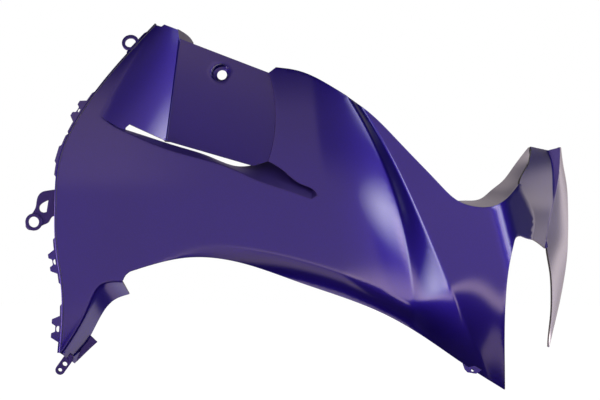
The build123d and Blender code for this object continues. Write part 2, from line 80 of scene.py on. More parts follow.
# Outline of the skin
REAR_TOP = (-93.0, 72.0)
REAR_LOW = (-225.0, -388.0)
REAR_EDGE = (
    (-146.0, 12.0), (-197.0, -58.0), (-224.0, -120.0), (-229.0, -180.0), (-228.0, -240.0), (-221.0, -293.0),
)
VENT_NOTCH = ((-85.0, 68.0), (-81.0, 71.0), (-62.0, 64.0), (-60.5, 52.0))
VENT_TOP_FRONT = (66.0, 2.0)
BULGE_TOP = (75.0, 9.0)
TOP_EDGE = ((107.0, 4.0), (153.0, -18.0), (202.0, -51.0), (249.0, -97.0), (305.0, -155.0), (330.0, -177.0))
NECK_EDGE = ((354.0, -185.0), (381.0, -184.0), (401.0, -173.0))
NOSE_CORNER = (421.0, -153.0)
WINDOW_FRONT = (440.0, -231.0)
WINDOW_TOP = ((430.0, -228.5), (419.0, -225.5), (414.0, -227.0))
WINDOW_NOSE = ((452.0, -236.0), (464.3, -244.6))
WINDOW_REAR = (411.0, -231.0)
FRONT_EDGE = ((403.0, -262.0), (397.5, -305.0), (396.0, -360.0))
FRONT_TIP = (399.0, -443.5)
ARCH_EDGE = (
    (339.0, -405.0), (286.0, -368.0), (220.0, -330.0), (109.0, -289.0), (23.0, -260.0), (-43.0, -253.5),
)
ARCH_REAR = (-125.0, -273.0)
HEEL_BEND = (-133.0, -277.0)
LEG_TOP = (-136.0, -286.0)
LEG_EDGE = ((-165.0, -289.0), (-186.0, -323.0))

# Vent
FOLD_Z = (70.0, 19.0, -60.0)
FOLD_X = (-92.0, -128.0, -167.0)
VALLEY_Z = (53.0, -92.0)
VALLEY_X = (-61.0, -78.5)
VENT_EDGE_Z = (2.0, -60.0, -121.0)
VENT_EDGE_X = (66.0, 76.0, 66.0)
FACET_SLOPE_FOLD = 0.05
FACET_SLOPE_VALLEY = 0.5
VALLEY_STEP = 4.0
VALLEY_STEP_RUN = 2.5
FLOOR_STEP = 6.0
LIP = ((-150.0, -73.0), (-132.0, -82.0), (-77.0, -105.0), (20.0, -135.0), (46.0, -147.0), (93.0, -163.0))
LIP_END = (125.0, -174.5)
POCKET_END = (134.0, -169.0)
BULGE_LOW = ((131.0, -163.0), (110.0, -152.0), (87.0, -134.0))
SLOT_END = ((-133.0, -80.0), (-132.5, -75.0), (-127.0, -70.0))
FLOOR_EDGE = ((-77.5, -92.5), (45.0, -128.0))
DUCT_LEAN = (0.0, 0.0, 0.0, 0.0, 0.0, 0.0, 2.0, 5.0, 4.0)
DUCT_RISE = (1.0, 4.5, 8.8, 9.8, 8.0, 7.5, 29.0, 40.0, 14.0)
DUCT_DEPTH = (3.0, 12.0, 22.0, 27.0, 28.0, 28.0, 28.0, 26.0, 10.0)
RIM_DEPTH = 12.0
VENT_RETURN = (
    (-63.5, 13.4, 30.0), (-60.0, 13.0, 30.0), (-50.0, 10.2, 27.0), (-44.0, 6.2, 17.0), (-40.0, 1.5, 4.0),
)

# Fixing bolt
BOLT_HOLE_R = 7.0
BOLT_CUP_R = 12.5

# Nose
NOSE_Z = (-98.0, -125.0, -153.0, -180.0, -207.0, -231.0, -255.0)
NOSE_CREASE_X = (442.0, 436.0, 421.0, 435.5, 445.0, 440.0, 432.0)
NOSE_STEP_X = (471.5, 479.0, 481.0, 477.5, 470.0, 465.5, 463.0)
NOSE_STEP_Y = (170.0, 174.0, 173.0, 163.0, 147.0, 136.0, 128.0)
NOSE_DIP = 4.5
NOSE_DIP_FADE = 27.0

# Blade, from the top of the nose down to its point
BLADE_Z = (-98.0, -125.0, -153.0, -180.0, -207.0, -231.0, -254.0, -280.0, -310.0, -340.0, -367.0, -394.0)
BLADE_REAR_X = (490.0, 489.0, 485.5, 478.6, 470.9, 466.4, 467.7, 472.5, 475.3, 476.4, 476.0, 478.0)
BLADE_REAR_Y = (182.0, 180.5, 177.5, 164.8, 148.6, 137.8, 130.5, 135.0, 147.5, 166.5, 193.5, 249.0)
BLADE_FRONT_X = (496.0, 502.0, 507.0, 508.7, 509.2, 508.9, 508.0, 505.0, 500.0, 493.8, 487.0, 479.5)
BLADE_CROWN = 2.0
BLADE_RISE = 1.8
CENTRE_Y = 260.0

# Headlight ledge
LEDGE_FRONT = (
    (330.0, -177.0), (341.0, -182.0), (368.0, -185.0), (395.0, -178.0),
    (414.0, -161.0), (430.0, -138.0), (441.0, -101.0),
)
LEDGE_BACK = (
    (330.3, -176.0), (343.3, -175.7), (364.0, -173.7), (384.0, -160.0),
    (404.0, -145.0), (423.0, -121.0), (440.0, -98.5),
)
LEDGE_DEPTH = (4.0, 30.0, 60.0, 82.0, 80.0, 66.0, 25.0)

# Return flange of the leg
RETURN_FAR = ((-128.0, -306.0), (-149.0, -314.0), (-170.5, -340.5), (-183.5, -365.0), (-206.5, -404.5))
RETURN_DEPTH = 30.0
RETURN_EDGE_R = 2.5

# Rear flange, slim between its clip tabs and fading out at the top
REAR_LENGTH = 500.0
FLANGE_SETBACK = 2.2
FLANGE_WALL = 2.4
FLANGE_REACH = 4.0
FLANGE_SLIM = 1.6
FLANGE_SHOULDER = 13.0
FLANGE_LAND = 7.0
FLANGE_TOP_RUN = 30.0

# Clip tabs: place along the rear edge, length, reach, half sizes of the hole
CLIP_TABS = (
    (0.07, 14.0, 3.0, 2.6, 1.6),
    (0.32, 39.0, 11.0, 2.4, 1.6),
    (0.45, 34.0, 6.0, 0.0, 0.0),
    (0.745, 38.0, 13.0, 3.6, 2.2),
    (0.934, 42.0, 15.0, 4.2, 2.5),
)
TAB_CORNER = 1.2
TAB_TUCK = 0.15

# Form of a clip tab, in shares of its length and reach
TAB_TAPER = 0.62
TAB_HOLE_REACH = 0.37
TAB_NOTCH = 0.36
NOTCH_SIDE = (0.09, 0.17)
NOTCH_DEPTH = (0.45, 0.6)

# Grommet rings, tongue and small tabs
RING_HOLE_R = 7.4
RING_R = 12.0
RING_WALL = 4.0
RING_EDGE = 0.7
ARM_SETBACK = 3.0
UPPER_RING = (-128.0, 45.5)
LOWER_RING = (-259.5, -205.5)
RING_ARM = (
    (-240.0, -161.8), (-248.4, -164.1), (-254.4, -171.5), (-257.0, -185.1), (-263.5, -195.6),
    (-270.1, -205.3), (-271.2, -210.6), (-267.9, -215.8), (-261.9, -216.9), (-253.6, -213.6),
    (-246.1, -209.5), (-239.4, -206.1), (-235.2, -199.4), (-227.0, -196.0),
)
ARM_ROOT = (-227.0, -160.0)
ARM_GAP_EDGE = (
    (-239.0, -175.0), (-246.1, -178.3), (-252.1, -185.1),
    (-250.7, -190.4), (-245.3, -192.3), (-241.6, -191.5),
)
TONGUE_ROOT = (-214.0, -396.0)
TONGUE_DEPTH = -9.0
TONGUE_TIP = (-226.5, -413.0)
TONGUE_W = 13.5
TONGUE_WALL = 3.0
TONGUE_HOLES = ((-219.5, -404.5, 3.4), (-226.5, -413.0, 2.8))
LOWER_TAB = ((336.0, -398.0), (341.5, -414.0), (345.5, -418.5), (358.0, -420.5), (366.0, -415.0))
LOWER_TAB_HOLE = (353.0, -415.5, 2.0)
LOWER_TAB_SEAT = (352.0, -409.0)
LOWER_TAB_WALL = 2.5
LEG_TAB = (
    (-184.0, -364.0), (-174.0, -373.5), (-184.5, -383.0),
    (-204.5, -402.5), (-198.5, -387.0), (-188.0, -364.0),
)
LEG_TAB_DEPTH = -4.0
SEAM = 0.6
LEG_TAB_WALL = 2.5

# Walls of the thin pieces
SKIN_THICK = 2.6
LEDGE_THICK = 1.8

# Fineness of sheets and edges
CELL = 4.5
PLATE_CELL = 2.5
CLEAR_OF_EDGE = 0.62
EDGE_STEP = 3.0
LIP_STEP = 2.5
FINE_STEP = 1.5
TIGHT_STEP = 1.2
TURN_STEPS = 4
WELD = 0.05
SAME_POINT = 1e-4
TAB_WELD = 0.01
SLIVER = 0.001
SHARP_ANGLE = math.radians(38)

# Radius of the body lines and of painted edges, softened edge of plates
LINE_R = 3.5
EDGE_R = 1.3
REAR_EDGE_R = 2.2
LIP_DROP = 3.0
PLATE_BEVEL = 0.5
BEVEL_ANGLE = math.radians(50)

# Colours of the paint, with the darker tone it takes at a slant as painted shade, of the bare plastic, and of
# paint dust that also serves as painted shade in recesses
PAINT_TONES = ((0.014, 0.006, 0.185, 1.0), (0.018, 0.008, 0.232, 1.0))
SPARKLE = 0.25
# Tone that the paint darkens to at a slant: partly candy flop, partly painted shade
PAINT_SLANT_SHADE = (0.006, 0.004, 0.03, 1.0)
PAINT_TINT = (0.25, 0.20, 0.60, 1.0)
BARE_TONES = ((0.018, 0.018, 0.020, 1.0), (0.030, 0.030, 0.033, 1.0))
# Dark dusted tones, which also serve as painted shade where they line the vent's duct and rims
DUST_AND_SHADE_TONES = ((0.026, 0.014, 0.105, 1.0), (0.034, 0.018, 0.170, 1.0))

# View and floor in metres, with the camera's sensor in millimetres
VIEW_AT = (0.1092, -4.0, -0.175)
VIEW_WIDE = 0.84
SENSOR = 36.0
FLOOR_Z = -0.62
FLOOR_HALF = 8.0
FLOOR_GLOW = 0.9
FLOOR_SHOWN = (0.25, 0.25, 0.25, 1.0)
FLOOR_LIT = (0.8, 0.8, 0.8, 1.0)

# Softboxes in metres and watts: name, place, aim, width, height, power
SOFTBOXES = (
    ("key_softbox", (2.11, -1.79, 0.21), (0.23, 0, -0.2), 1.0, 0.42, 11.2),
    ("side_softbox", (2.79, -1.00, 0.06), (0.39, 0, -0.2), 0.8, 0.55, 9.5),
    ("high_softbox", (1.95, -1.02, 1.5), (0.2, 0, -0.2), 1.2, 0.9, 16),
)
# Scales of the ovals in a softbox, and the gap that sets each one behind the last
LAMP_RINGS = (0.4, 0.7, 1.0, 1.3, 1.7)
LAMP_GAP = 0.004

# Room that the paint mirrors. Each light is a product of ramps along the mirrored direction:
# axis, where the ramp starts and ends, strength before and after it
TILT = -0.36
LEAN = -0.5
FACING = ("deep", -0.50, -0.30, 1.0, 0.0)
ROOM = {
    "wall": (
        ("across", -0.70, -0.30, 0.10, 1.0), ("deep", -0.45, -0.10, 1.0, 0.04),
        ("up", 0.50, 0.75, 1.0, 0.10), ("tilt", -0.42, -0.36, 0.06, 1.0),
    ),
    "glow": (
        ("across", -0.42, -0.32, 0.0, 1.0), ("across", -0.24, -0.08, 1.0, 0.0), ("up", 0.08, 0.20, 0.0, 0.5),
    ),
    "corner": (("across", 0.03, 0.12, 0.0, 1.0), ("up", 0.15, 0.40, 0.0, 0.65)),
    "dim": (("across", 0.50, 0.62, 0.0, 0.7), ("up", 0.04, 0.12, 1.0, 0.0)),
    "band": (
        ("tilt", -0.42, -0.36, 0.0, 1.0), ("tilt", -0.34, -0.25, 1.0, 0.0), ("across", -0.12, 0.10, 0.3, 4.2),
    ),
    "streak": (
        ("across", 0.76, 0.80, 0.0, 3.5), ("across", 0.83, 0.88, 1.0, 0.0),
        ("up", 0.0, 0.06, 0.0, 1.0), ("up", 0.12, 0.20, 1.0, 0.0), FACING,
    ),
    "near": (
        ("across", -0.26, -0.16, 0.0, 1.6), ("across", -0.08, -0.03, 1.0, 0.0),
        ("up", -0.92, -0.75, 0.0, 1.0), ("up", -0.45, -0.33, 1.0, 0.0),
    ),
    "far_left": (("across", -0.80, -0.55, 7.0, 0.0), ("up", 0.0, 0.15, 1.0, 0.0)),
    "bounce": (
        ("across", 0.3, 0.5, 0.0, 0.08), ("up", -0.45, -0.35, 1.0, 0.0), ("deep", -0.35, -0.15, 0.0, 1.0),
    ),
    "behind": (
        ("lean", 0.515, 0.575, 0.0, 1.6), ("up", 0.15, 0.50, 1.0, 0.5),
        ("deep", 0.67, 0.75, 1.0, 0.4), ("deep", 0.82, 0.88, 1.0, 2.5), ("deep", 0.86, 0.97, 1.0, 0.36),
    ),
    "high_back": (("deep", 0.45, 0.58, 0.0, 0.5), ("up", 0.26, 0.34, 0.0, 1.0)),
    "low": (
        ("across", 0.42, 0.50, 0.0, 4.5), ("across", 0.64, 0.72, 1.0, 0.0),
        ("up", -0.38, -0.28, 0.0, 1.0), ("up", -0.18, -0.12, 1.0, 0.0), FACING,
    ),
}
BRIGHTEST_OF = ("near", "far_left", "bounce", "behind", "high_back", "low")
WARM_FRONT = (1.0, 0.75, 0.79, 1.0)
WARM_BACK = (1.0, 0.87, 0.86, 1.0)
WHITE = (1.0, 1.0, 1.0, 1.0)
FILL = 0.5


def curve_through(t, at, values):
    """Value at t of the polynomial through the given stations."""
    total = 0.0
    for i, (ti, vi) in enumerate(zip(at, values)):
        weight = 1.0
        for j, tj in enumerate(at):
            if j != i:
                weight *= (t - tj) / (ti - tj)
        total += weight * vi
    return total


def body_line(values, z):
    return curve_through(z, STATION_Z, values)


def ease(t):
    t = min(max(t, 0.0), 1.0)
    return t * t * (3 - 2 * t)


def neck_turn(run):
    """Depth gained past the start of the neck, round the turn and on along the band behind it."""
    start = math.atan(FRONT_SLOPE)
    sine = math.sin(start) + run / NECK_R
    sine_end = math.sin(NECK_TURN)
    on_arc = min(sine, sine_end)
    depth = NECK_R * (math.cos(start) - math.sqrt(1 - on_arc * on_arc))
    return depth + max(sine - sine_end, 0) * NECK_R * math.tan(NECK_TURN)


def edge_roll(x, z):
    """Depth by which the skin turns under along the wheel arch, from higher up towards the front tip."""
    tuck = ease((x - TUCK_FROM_X) / (TUCK_FULL_X - TUCK_FROM_X))
    reach = ROLL_HEIGHT + tuck * (TUCK_HEIGHT - ROLL_HEIGHT)
    height = (z - curve_through(x, ARCH_X, ARCH_Z)) / reach
    if height >= 1:
        return 0.0
    share = ease((x - ROLL_FROM_X) / (ROLL_FULL_X - ROLL_FROM_X))
    depth = share * (ROLL_DEPTH + tuck * (TUCK_DEPTH - ROLL_DEPTH))
    return depth * (1 - max(height, -ROLL_BELOW)) ** 2


def sharp_skin(x, z):
    """Depth Y of the outer face at reach x and height z, with sharp body lines."""
    shoulder = body_line(SHOULDER_X, z)
    crest = body_line(CREST_X, z)
    foot = body_line(FOOT_X, z)
    neck = body_line(NECK_X, z)
    lean_r = LEAN_TOP_R if z > WIDEST_Z else LEAN_LOW_R
    y = WIDEST_Y + (z - WIDEST_Z) ** 2 / (2 * lean_r)
    y += min(x - REAR_X, 0) ** 2 / (2 * REAR_R)
    y += max(min(x, crest) - shoulder, 0) ** 2 / (2 * BULGE_R)
    down = min(max((x - crest) / (foot - crest), 0), 1)
    y += body_line(STEP_DEPTH, z) * down * (1 + STEP_HOLLOW * (1 - down))
    y += FRONT_SLOPE * max(min(x, neck) - foot, 0)
    if x > neck:
        y += neck_turn(x - neck)
    return y + edge_roll(x, z)


def skin(x, z):
    """Depth of the painted face: the body lines are rounded by averaging across them."""
    if x < CREST_X[0] - LINE_R:
        return sharp_skin(x, z)
    sides = sharp_skin(x - LINE_R, z) + sharp_skin(x + LINE_R, z)
    halves = sharp_skin(x - LINE_R / 2, z) + sharp_skin(x + LINE_R / 2, z)
    return sides / 8 + halves / 4 + sharp_skin(x, z) / 4


def vent_lines(z):
    fold = curve_through(z, FOLD_Z, FOLD_X)
    valley = curve_through(z, VALLEY_Z, VALLEY_X)
    edge = curve_through(z, VENT_EDGE_Z, VENT_EDGE_X)
    return fold, valley, edge


def facet(x, z):
    """Depth of the facet that dives from the fold to the valley."""
    fold, valley, _ = vent_lines(z)
    run_in = x - fold
    bow = (FACET_SLOPE_VALLEY - FACET_SLOPE_FOLD) / (2 * (valley - fold))
    return skin(fold, z) + FACET_SLOPE_FOLD * run_in + bow * run_in * abs(run_in)


def vent_floor(x, z):
    """Depth of the flat floor that rises from the valley to the edge of the bulge."""
    _, valley, edge = vent_lines(z)
    low = facet(valley, z) + VALLEY_STEP
    high = skin(edge, z) + FLOOR_STEP
    start = valley + VALLEY_STEP_RUN
    return low + (high - low) * (x - start) / (edge - start)


def recess(x, z):
    """Depth of the whole vent: facet, eased step in the valley, floor."""
    _, valley, _ = vent_lines(z)
    if x <= valley:
        return facet(x, z)
    start = valley + VALLEY_STEP_RUN
    if x >= start:
        return vent_floor(x, z)
    low = facet(valley, z)
    return low + ease((x - valley) / VALLEY_STEP_RUN) * (vent_floor(start, z) - low)


def out_of(depth, x, z, nudge=0.5):
    """Unit vector that points out of a face given by its depth."""
    along_x = Vector((2 * nudge, depth(x + nudge, z) - depth(x - nudge, z), 0))
    along_z = Vector((0, depth(x, z + nudge) - depth(x, z - nudge), 2 * nudge))
    return along_x.cross(along_z).normalized()


def lifted(depth, point, lift=0.0):
    x, z = point
    return Vector((x, depth(x, z) + lift, z))


def spaced(start, end, count):
    return [start + (end - start) * i / (count - 1) for i in range(count)]


def lengths(points):
    """Distance of each point from the first, along the line through them."""
    steps = np.linalg.norm(np.diff(np.array(points, float), axis=0), axis=1)
    return np.concatenate([[0.0], np.cumsum(steps)])


def spline(at, values, where):
    """Natural cubic curve through values at rising stations, read at other places."""
    t = np.array(at, float)
    p = np.array(values, float)
    h = np.diff(t)
    system = np.eye(len(t))
    right = np.zeros_like(p)
    for i in range(1, len(t) - 1):
        system[i, i - 1:i + 2] = (h[i - 1], 2 * (h[i - 1] + h[i]), h[i])
        right[i] = 6 * ((p[i + 1] - p[i]) / h[i] - (p[i] - p[i - 1]) / h[i - 1])
    bend = np.linalg.solve(system, right)
    got = []
    for place in where:
        i = int(np.clip(np.searchsorted(t, place, side="right") - 1, 0, len(t) - 2))
        u = place - t[i]
        slope = (p[i + 1] - p[i]) / h[i] - h[i] * (2 * bend[i] + bend[i + 1]) / 6
        got.append(p[i] + u * slope + u * u * bend[i] / 2 + u ** 3 * (bend[i + 1] - bend[i]) / (6 * h[i]))
    return got


def smooth(points, count=None, step=EDGE_STEP):
    """Even points along the natural cubic curve through the given points."""
    t = lengths(points)
    count = count or max(2, int(round(t[-1] / step)) + 1)
    return [tuple(float(v) for v in place) for place in spline(t, points, np.linspace(0, t[-1], count))]


def straight(*corners, step=EDGE_STEP):
    """Points along straight lines through the corners."""
    places = []
    for a, b in zip(corners, corners[1:]):
        places.extend(smooth((a, b), step=step)[:-1])
    return [*places, corners[-1]]


def bent(start, bend, end, count=9):
    """Curve from start to end that leans towards a third point."""
    points = []
    for t in spaced(0, 1, count):
        weights = ((1 - t) ** 2, 2 * t * (1 - t), t * t)
        points.append(tuple(float(v) for v in np.dot(weights, (start, bend, end))))
    return points


def line_down(at, values, count=240):
    """Smooth curve through stations that go down, as a function of height."""
    fine = np.linspace(-at[0], -at[-1], count)
    curve = spline([-z for z in at], values, fine)
    return lambda z: float(np.interp(-z, fine, curve))


def joined(*runs):
    """One closed loop from runs that meet end to end."""
    return [point for run in runs for point in run[:-1]]


def circle(x, z, radius, count=36):
    turns = [2 * math.pi * k / count for k in range(count)]
    return [(x + radius * math.cos(a), z + radius * math.sin(a)) for a in turns]


def inside(points, loop):
    """Which points of the XZ plane lie inside a closed loop."""
    p = np.array(points, float)
    hit = np.zeros(len(p), bool)
    for (ax, az), (bx, bz) in zip(loop, loop[1:] + loop[:1]):
        if az != bz:
            crosses = (az > p[:, 1]) != (bz > p[:, 1])
            hit ^= crosses & (p[:, 0] < (bx - ax) * (p[:, 1] - az) / (bz - az) + ax)
    return hit


def in_region(points, loop, holes=()):
    """Which points lie inside a loop and outside its holes."""
    keep = inside(points, loop)
    for hole in holes:
        keep &= ~inside(points, hole)
    return keep


def within(points, loop, holes=()):
    return [point for point, is_in in zip(points, in_region(points, loop, holes)) if is_in]


def even_points(loop, cell):
    """Points of an even triangle grid over a loop's box."""
    low = np.min(np.array(loop), axis=0)
    high = np.max(np.array(loop), axis=0)
    places = []
    for row, z in enumerate(np.arange(low[1], high[1], cell * math.sqrt(3) / 2)):
        for x in np.arange(low[0] + (row % 2) * cell / 2, high[0], cell):
            places.append((float(x), float(z)))
    return places


def sheet(loop, depth, holes=(), folds=(), cell=CELL):
    """Fine sheet over a region of the XZ plane, lifted to its depth: points and faces."""
    points = []
    edges = []
    runs = [(loop, True)] + [(hole, True) for hole in holes] + [(fold, False) for fold in folds]
    for run, is_closed in runs:
        first = len(points)
        points.extend(run)
        edges.extend((first + i, first + i + 1) for i in range(len(run) - 1))
        if is_closed:
            edges.append((first + len(run) - 1, first))
    tree = KDTree(len(points))
    for i, (x, z) in enumerate(points):
        tree.insert((x, 0, z), i)
    tree.balance()
    for x, z in within(even_points(loop, cell), loop, holes):
        if tree.find((x, 0, z))[2] > CLEAR_OF_EDGE * cell:
            points.append((x, z))
    flat, _, faces, _, _, _ = delaunay_2d_cdt([Vector(p) for p in points], edges, [], 0, SAME_POINT)
    middles = [sum((flat[i] for i in face), Vector((0, 0))) / len(face) for face in faces]
    kept = [tuple(face) for face, is_in in zip(faces, in_region(middles, loop, holes)) if is_in]
    return [lifted(depth, p) for p in flat], kept


def strip(rows, closed=False):
    """Quads between rows of equal length."""
    wide = len(rows[0])
    points = [Vector(p) for row in rows for p in row]
    faces = []
    for r in range(len(rows) - 1):
        for i in range(wide if closed else wide - 1):
            j = (i + 1) % wide
            faces.append((r * wide + i, r * wide + j, (r + 1) * wide + j, (r + 1) * wide + i))
    return points, faces


def ruled(near, far, count):
    """Rows of points that go evenly from one line across to another."""
    return [[a.lerp(b, share) for a, b in zip(near, far)] for share in spaced(0, 1, count)]


def turned_edge(near, depth, far, radius=EDGE_R, steps=5, outward=1):
    """Rows that leave a sheet at its edge, turn smoothly and run straight to the far points."""
    rows = [[] for _ in range(TURN_STEPS + 1 + steps)]
    for i, (point, end) in enumerate(zip(near, far)):
        ahead = lifted(depth, near[min(i + 1, len(near) - 1)])
        behind = lifted(depth, near[max(i - 1, 0)])
        start = lifted(depth, point)
        side = out_of(depth, *point).cross(ahead - behind).normalized() * outward
        corner = start + side * radius
        way = Vector(end) - corner
        turned = corner + way.normalized() * min(radius, way.length / 2)
        for k in range(TURN_STEPS + 1):
            t = k / TURN_STEPS
            rows[k].append(start * (1 - t) ** 2 + corner * 2 * t * (1 - t) + turned * t * t)
        for k in range(steps):
            rows[TURN_STEPS + 1 + k].append(turned.lerp(Vector(end), (k + 1) / steps))
    return rows


def edge_lip(near, depth, drop=LIP_DROP, outward=1, radius=EDGE_R):
    """Rows that round a free edge of a sheet over to its inner side."""
    far = [lifted(depth, point) - out_of(depth, *point) * drop for point in near]
    return turned_edge(near, depth, far, radius=radius, steps=1, outward=outward)


def put(name, data):
    """New object in the scene."""
    made = bpy.data.objects.new(name, data)
    bpy.context.scene.collection.objects.link(made)
    return made


def piece_mesh(name, parts, towards=(0, -1, 0)):
    """One piece in metres from points and faces in millimetres, its open sheets facing one side."""
    bm = bmesh.new()
    for points, faces, *slot in parts:
        verts = [bm.verts.new(p * MM) for p in points]
        for face in faces:
            made = bm.faces.new([verts[i] for i in face])
            made.material_index = slot[0] if slot else 0
    bmesh.ops.remove_doubles(bm, verts=bm.verts, dist=WELD * MM)
    bmesh.ops.dissolve_degenerate(bm, edges=bm.edges, dist=SLIVER * MM)
    bmesh.ops.delete(bm, geom=[v for v in bm.verts if not v.link_faces], context="VERTS")
    bmesh.ops.recalc_face_normals(bm, faces=bm.faces)
    lean = sum(face.normal.dot(Vector(towards)) * face.calc_area() for face in bm.faces)
    if lean < 0:
        bmesh.ops.reverse_faces(bm, faces=bm.faces)
    for face in bm.faces:
        face.smooth = True
    mesh = bpy.data.meshes.new(name)
    bm.to_mesh(mesh)
    bm.free()
    for material in SLOTS:
        mesh.materials.append(material)
    return put(name, mesh)


def made_solid(piece):
    """Replaces a piece's mesh by the result of its modifiers, with sharp edges kept sharp."""
    graph = bpy.context.evaluated_depsgraph_get()
    piece.data = bpy.data.meshes.new_from_object(piece.evaluated_get(graph))
    piece.modifiers.clear()
    piece.data.set_sharp_from_angle(angle=SHARP_ANGLE)


def thicken(piece, wall, bevel=0.0):
    """Gives an open sheet its wall, inwards, with the bare side in the next material slot."""
    solid = piece.modifiers.new("wall", "SOLIDIFY")
    solid.thickness = wall * MM
    solid.offset = -1.0
    solid.material_offset = 1
    solid.material_offset_rim = 1
    if bevel:
        soft = piece.modifiers.new("soft_edges", "BEVEL")
        soft.width = bevel * MM
        soft.segments = 2
        soft.limit_method = "ANGLE"
        soft.angle_limit = BEVEL_ANGLE
    made_solid(piece)


def feed(tree, made, feeds):
    """Gives a node's inputs sockets to read or plain values."""
    for name, value in feeds.items():
        if isinstance(value, bpy.types.NodeSocket):
            tree.links.new(value, made.inputs[name])
        else:
            made.inputs[name].default_value = value


def node(tree, kind, feeds=None, **settings):
    """New node with its settings and inputs."""
    made = tree.nodes.new(kind)
    for key, value in settings.items():
        setattr(made, key, value)
    feed(tree, made, feeds or {})
    return made


def result(tree, kind, feeds=None, **settings):
    """First output of a new node."""
    return node(tree, kind, feeds, **settings).outputs[0]


def worked(tree, operation, *values):
    """Result of a calculation on sockets or numbers."""
    return result(tree, "ShaderNodeMath", dict(enumerate(values)), operation=operation)


def folded(tree, operation, first, *others):
    """Result of one calculation carried along several sockets."""
    for other in others:
        first = worked(tree, operation, first, other)
    return first


def ranged(tree, value, low, high):
    """Value between nought and one, spread from low to high."""
    return result(tree, "ShaderNodeMapRange", {"Value": value, "To Min": low, "To Max": high})


def eased(tree, value, start, end, low, high):
    """Value that goes smoothly from low to high between two limits."""
    feeds = {"Value": value, "From Min": start, "From Max": end, "To Min": low, "To Max": high}
    return result(tree, "ShaderNodeMapRange", feeds, interpolation_type="SMOOTHSTEP")


def mixed(tree, share, first, second, **settings):
    """Colour between two others."""
    feeds = {"Factor": share, "A": first, "B": second}
    return node(tree, "ShaderNodeMix", feeds, data_type="RGBA", **settings).outputs["Result"]


def noise(tree, place, scale, detail=2.0):
    return result(tree, "ShaderNodeTexNoise", {"Vector": place, "Scale": scale, "Detail": detail})


def bumped(tree, height, strength, distance):
    return result(tree, "ShaderNodeBump", {"Height": height, "Strength": strength, "Distance": distance})


def new_material(name):
    material = bpy.data.materials.new(name)
    material.use_nodes = True
    return material, material.node_tree


def surfaced(name, surface):
    """Material whose shader gets the inputs that a function makes from the place on the piece."""
    material, tree = new_material(name)
    place = node(tree, "ShaderNodeTexCoord").outputs["Object"]
    feed(tree, tree.nodes["Principled BSDF"], surface(tree, place))
    return material


def candy_paint(tree, place):
    """Deep metallic blue under clear coat: flakes, a slow drift of tone, a trace of orange peel, and painted
    shade where the paint is seen at a slant.
    """
    drift = noise(tree, place, scale=9.0, detail=3.0)
    flakes = node(tree, "ShaderNodeTexVoronoi", {"Vector": place, "Scale": 1600.0}).outputs["Color"]
    sparkle = mixed(tree, SPARKLE, mixed(tree, drift, *PAINT_TONES), flakes, blend_type="MULTIPLY")
    # Painted shade: where a face is seen at a slant the base colour darkens towards the deep tone, like candy
    # paint's flop, and this also dims the grazing reflections of its metal.
    facing = node(tree, "ShaderNodeLayerWeight").outputs["Facing"]
    slant_shade = eased(tree, facing, start=0.40, end=0.75, low=0.0, high=0.8)
    return {
        "Base Color": mixed(tree, slant_shade, sparkle, PAINT_SLANT_SHADE),
        "Metallic": 0.9,
        "Roughness": ranged(tree, drift, low=0.43, high=0.48),
        "Specular Tint": PAINT_TINT,
        "Coat Weight": 1.0,
        "Coat Roughness": 0.12,
        "Coat Normal": bumped(tree, noise(tree, place, scale=260.0), strength=0.025, distance=0.0002),
    }


def bare_plastic(tree, place):
    """Unpainted inner side: dark moulded plastic with a fine grain."""
    grain = noise(tree, place, scale=700.0, detail=4.0)
    return {
        "Base Color": mixed(tree, noise(tree, place, scale=7.0), *BARE_TONES),
        "Roughness": ranged(tree, grain, low=0.48, high=0.62),
        "Normal": bumped(tree, grain, strength=0.25, distance=0.0003),
    }


def overspray_and_shade(tree, place):
    """Dark plastic with a thin dusting of paint, where the gun hardly reached; on the vent's duct and rims
    its darkness is painted shade of these recesses.
    """
    dust = noise(tree, place, scale=45.0, detail=5.0)
    return {
        "Base Color": mixed(tree, dust, *DUST_AND_SHADE_TONES),
        "Metallic": 0.3,
        "Roughness": 0.5,
        "Specular IOR Level": 0.35,
        "Normal": bumped(tree, noise(tree, place, scale=800.0), strength=0.15, distance=0.0002),
    }


PAINT = surfaced("candy_blue_paint", candy_paint)
BARE = surfaced("bare_inner_plastic", bare_plastic)
OVERSPRAY_AND_SHADE = surfaced("overspray_and_shade", overspray_and_shade)
# Material slots of each mesh: every outer side is followed by its bare inner side
SLOTS = (PAINT, BARE, OVERSPRAY_AND_SHADE, BARE)
# Slot of the dark dusted plastic, also used as painted shade in the vent's recesses
DUST_SHADE_SLOT = SLOTS.index(OVERSPRAY_AND_SHADE)

# Lines of the nose and blade as functions of height
nose_crease_x = line_down(NOSE_Z, NOSE_CREASE_X)
nose_step_x = line_down(NOSE_Z, NOSE_STEP_X)
nose_step_y = line_down(NOSE_Z, NOSE_STEP_Y)
blade_rear_x = line_down(BLADE_Z, BLADE_REAR_X)
blade_rear_y = line_down(BLADE_Z, BLADE_REAR_Y)
blade_front_x = line_down(BLADE_Z, BLADE_FRONT_X)

